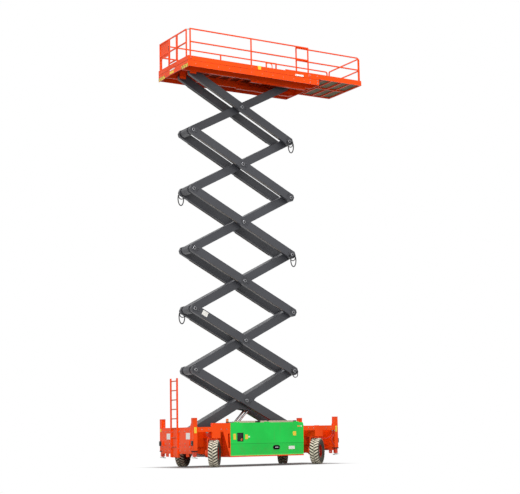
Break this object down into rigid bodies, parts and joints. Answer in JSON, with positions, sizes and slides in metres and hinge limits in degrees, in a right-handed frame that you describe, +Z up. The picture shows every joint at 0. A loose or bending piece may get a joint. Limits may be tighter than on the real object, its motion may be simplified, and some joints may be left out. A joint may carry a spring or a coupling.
{
  "type": "scissor lift",
  "caption": "Self-propelled scissor lift: steered chassis on levelling jacks, stacked arms and a railed work deck with a sliding extension.",
  "frame": {"origin": "floor level under the middle of the machine's whole length and width", "axes": "+X from the ladder end towards the deck-extension end, +Y to the far side, +Z up"},
  "size_m": [7.051, 2.9688, 14.283],
  "materials": {
    "orange_paint": "gloss",
    "green_paint": "gloss",
    "arm_grey": "satin",
    "rim_red": "satin",
    "tyre_rubber": "matte",
    "jack_steel": "worn",
    "rod_chrome": "polished",
    "cylinder_black": "satin",
    "engine_grey": "satin",
    "beacon_amber": "gloss"
  },
  "bodies": {
    "chassis": {"chassis_frame": "orange_paint", "jack_posts": "orange_paint", "housing_near": "green_paint", "housing_far": "green_paint", "beacon": "beacon_amber", "engine_block": "engine_grey", "ladder": "orange_paint"},
    "door_near": {"door_near": "green_paint"},
    "door_far": {"door_far": "green_paint"},
    "knuckle_ladder_near": {"knuckle_ladder_near": "orange_paint"},
    "wheel_ladder_near": {"tyre_ladder_near": "tyre_rubber", "rim_ladder_near": "rim_red"},
    "jack_ladder_near": {"jack_leg_ladder_near": "jack_steel"},
    "knuckle_drive_near": {"knuckle_drive_near": "orange_paint"},
    "wheel_drive_near": {"tyre_drive_near": "tyre_rubber", "rim_drive_near": "rim_red"},
    "jack_drive_near": {"jack_leg_drive_near": "jack_steel"},
    "knuckle_ladder_far": {"knuckle_ladder_far": "orange_paint"},
    "wheel_ladder_far": {"tyre_ladder_far": "tyre_rubber", "rim_ladder_far": "rim_red"},
    "jack_ladder_far": {"jack_leg_ladder_far": "jack_steel"},
    "knuckle_drive_far": {"knuckle_drive_far": "orange_paint"},
    "wheel_drive_far": {"tyre_drive_far": "tyre_rubber", "rim_drive_far": "rim_red"},
    "jack_drive_far": {"jack_leg_drive_far": "jack_steel"},
    "inner_1": {"inner_arm_1": "arm_grey"},
    "outer_1": {"outer_arms_1": "arm_grey"},
    "inner_2": {"inner_arm_2": "arm_grey"},
    "outer_2": {"outer_arms_2": "arm_grey"},
    "inner_3": {"inner_arm_3": "arm_grey"},
    "outer_3": {"outer_arms_3": "arm_grey"},
    "inner_4": {"inner_arm_4": "arm_grey"},
    "outer_4": {"outer_arms_4": "arm_grey"},
    "inner_5": {"inner_arm_5": "arm_grey"},
    "outer_5": {"outer_arms_5": "arm_grey"},
    "inner_6": {"inner_arm_6": "arm_grey"},
    "outer_6": {"outer_arms_6": "arm_grey"},
    "platform": {"platform_deck": "orange_paint", "guard_rails": "orange_paint"},
    "gate": {"gate": "orange_paint"},
    "extension": {"extension_deck": "orange_paint", "extension_rails": "orange_paint"},
    "lift_barrel": {"lift_barrels": "cylinder_black"},
    "lift_rod": {"lift_rods": "rod_chrome"}
  },
  "joints": [
    {"name": "scissor_raise", "type": "hinge", "parent": "chassis", "child": "inner_1", "pos_m": [-2.9745, 0, 1.12], "axis": [0, -1, 0], "range_deg": [-22.64, 28.36]},
    {"name": "centre_pin_1", "type": "hinge", "parent": "inner_1", "child": "outer_1", "pos_m": [-1.0815, 0, 2.1115], "axis": [0, -1, 0], "range_deg": [-61.3, 49.87]},
    {"name": "end_pin_1", "type": "hinge", "parent": "outer_1", "child": "inner_2", "pos_m": [-2.9745, 0, 3.103], "axis": [0, -1, 0], "range_deg": [-49.87, 61.3]},
    {"name": "centre_pin_2", "type": "hinge", "parent": "inner_2", "child": "outer_2", "pos_m": [-1.0815, 0, 4.0945], "axis": [0, -1, 0], "range_deg": [-61.3, 49.87]},
    {"name": "end_pin_2", "type": "hinge", "parent": "outer_2", "child": "inner_3", "pos_m": [-2.9745, 0, 5.086], "axis": [0, -1, 0], "range_deg": [-49.87, 61.3]},
    {"name": "centre_pin_3", "type": "hinge", "parent": "inner_3", "child": "outer_3", "pos_m": [-1.0815, 0, 6.0775], "axis": [0, -1, 0], "range_deg": [-61.3, 49.87]},
    {"name": "end_pin_3", "type": "hinge", "parent": "outer_3", "child": "inner_4", "pos_m": [-2.9745, 0, 7.069], "axis": [0, -1, 0], "range_deg": [-49.87, 61.3]},
    {"name": "centre_pin_4", "type": "hinge", "parent": "inner_4", "child": "outer_4", "pos_m": [-1.0815, 0, 8.0605], "axis": [0, -1, 0], "range_deg": [-61.3, 49.87]},
    {"name": "end_pin_4", "type": "hinge", "parent": "outer_4", "child": "inner_5", "pos_m": [-2.9745, 0, 9.052], "axis": [0, -1, 0], "range_deg": [-49.87, 61.3]},
    {"name": "centre_pin_5", "type": "hinge", "parent": "inner_5", "child": "outer_5", "pos_m": [-1.0815, 0, 10.0435], "axis": [0, -1, 0], "range_deg": [-61.3, 49.87]},
    {"name": "end_pin_5", "type": "hinge", "parent": "outer_5", "child": "inner_6", "pos_m": [-2.9745, 0, 11.035], "axis": [0, -1, 0], "range_deg": [-49.87, 61.3]},
    {"name": "centre_pin_6", "type": "hinge", "parent": "inner_6", "child": "outer_6", "pos_m": [-1.0815, 0, 12.0265], "axis": [0, -1, 0], "range_deg": [-61.3, 49.87]},
    {"name": "platform_pin", "type": "hinge", "parent": "outer_6", "child": "platform", "pos_m": [-2.9745, 0, 13.018], "axis": [0, -1, 0], "range_deg": [-24.94, 30.65]},
    {"name": "lift_cylinder_foot", "type": "hinge", "parent": "chassis", "child": "lift_barrel", "pos_m": [-2.2045, 0, 0.45], "axis": [0, -1, 0], "range_deg": [-25.16, 30.93]},
    {"name": "lift_rod_slide", "type": "slide", "parent": "lift_barrel", "child": "lift_rod", "axis": [0.7022, 0, 0.712], "range_m": [-0.39931, 0.497]},
    {"name": "steer_ladder_near", "type": "hinge", "parent": "chassis", "child": "knuckle_ladder_near", "pos_m": [-2.682, -1.072, 0.4275], "axis": [0, 0, 1], "range_deg": [-103, 0]},
    {"name": "wheel_spin_ladder_near", "type": "hinge", "parent": "knuckle_ladder_near", "child": "wheel_ladder_near", "pos_m": [-2.682, -1.072, 0.4275], "axis": [0.7826, -0.6225, 0], "continuous": true},
    {"name": "jack_slide_ladder_near", "type": "slide", "parent": "chassis", "child": "jack_ladder_near", "axis": [0, 0, -1], "range_m": [0, 0.4]},
    {"name": "steer_drive_near", "type": "hinge", "parent": "chassis", "child": "knuckle_drive_near", "pos_m": [1.213, -1.072, 0.4275], "axis": [0, 0, 1], "range_deg": [-79, 0]},
    {"name": "wheel_spin_drive_near", "type": "hinge", "parent": "knuckle_drive_near", "child": "wheel_drive_near", "pos_m": [1.213, -1.072, 0.4275], "axis": [0.6361, -0.7716, 0], "continuous": true},
    {"name": "jack_slide_drive_near", "type": "slide", "parent": "chassis", "child": "jack_drive_near", "axis": [0, 0, -1], "range_m": [0, 0.4]},
    {"name": "steer_ladder_far", "type": "hinge", "parent": "chassis", "child": "knuckle_ladder_far", "pos_m": [-2.682, 1.072, 0.4275], "axis": [0, 0, 1], "range_deg": [-86, 0]},
    {"name": "wheel_spin_ladder_far", "type": "hinge", "parent": "knuckle_ladder_far", "child": "wheel_ladder_far", "pos_m": [-2.682, 1.072, 0.4275], "axis": [-0.682, 0.7314, 0], "continuous": true},
    {"name": "jack_slide_ladder_far", "type": "slide", "parent": "chassis", "child": "jack_ladder_far", "axis": [0, 0, -1], "range_m": [0, 0.4]},
    {"name": "steer_drive_far", "type": "hinge", "parent": "chassis", "child": "knuckle_drive_far", "pos_m": [1.213, 1.072, 0.4275], "axis": [0, 0, 1], "range_deg": [-103, 0]},
    {"name": "wheel_spin_drive_far", "type": "hinge", "parent": "knuckle_drive_far", "child": "wheel_drive_far", "pos_m": [1.213, 1.072, 0.4275], "axis": [-0.7826, 0.6225, 0], "continuous": true},
    {"name": "jack_slide_drive_far", "type": "slide", "parent": "chassis", "child": "jack_drive_far", "axis": [0, 0, -1], "range_m": [0, 0.4]},
    {"name": "door_hinge_near", "type": "hinge", "parent": "chassis", "child": "door_near", "pos_m": [-0.7345, -1.164, 1.397], "axis": [-1, 0, 0], "range_deg": [0, 80]},
    {"name": "door_hinge_far", "type": "hinge", "parent": "chassis", "child": "door_far", "pos_m": [-0.7345, 1.164, 1.397], "axis": [1, 0, 0], "range_deg": [0, 80]},
    {"name": "gate_hinge", "type": "hinge", "parent": "platform", "child": "gate", "pos_m": [-3.4295, -0.227, 13.8], "axis": [0, 0, -1], "range_deg": [0, 90]},
    {"name": "extension_slide", "type": "slide", "parent": "platform", "child": "extension", "axis": [1, 0, 0], "range_m": [-1.856, 0]}
  ],
  "couplings": [
    {"joint": "centre_pin_1", "follows": "scissor_raise", "ratio": -2},
    {"joint": "end_pin_1", "follows": "scissor_raise", "ratio": 2},
    {"joint": "centre_pin_2", "follows": "scissor_raise", "ratio": -2},
    {"joint": "end_pin_2", "follows": "scissor_raise", "ratio": 2},
    {"joint": "centre_pin_3", "follows": "scissor_raise", "ratio": -2},
    {"joint": "end_pin_3", "follows": "scissor_raise", "ratio": 2},
    {"joint": "centre_pin_4", "follows": "scissor_raise", "ratio": -2},
    {"joint": "end_pin_4", "follows": "scissor_raise", "ratio": 2},
    {"joint": "centre_pin_5", "follows": "scissor_raise", "ratio": -2},
    {"joint": "end_pin_5", "follows": "scissor_raise", "ratio": 2},
    {"joint": "centre_pin_6", "follows": "scissor_raise", "ratio": -2},
    {"joint": "platform_pin", "follows": "scissor_raise", "ratio": 1},
    {"joint": "lift_cylinder_foot", "follows": "scissor_raise", "ratio": 1.01},
    {"joint": "lift_rod_slide", "follows": "scissor_raise", "m_per_rad": 0.98},
    {"joint": "steer_ladder_far", "follows": "steer_ladder_near", "ratio": 0.83495},
    {"joint": "steer_drive_far", "follows": "steer_drive_near", "ratio": 1.3038}
  ]
}
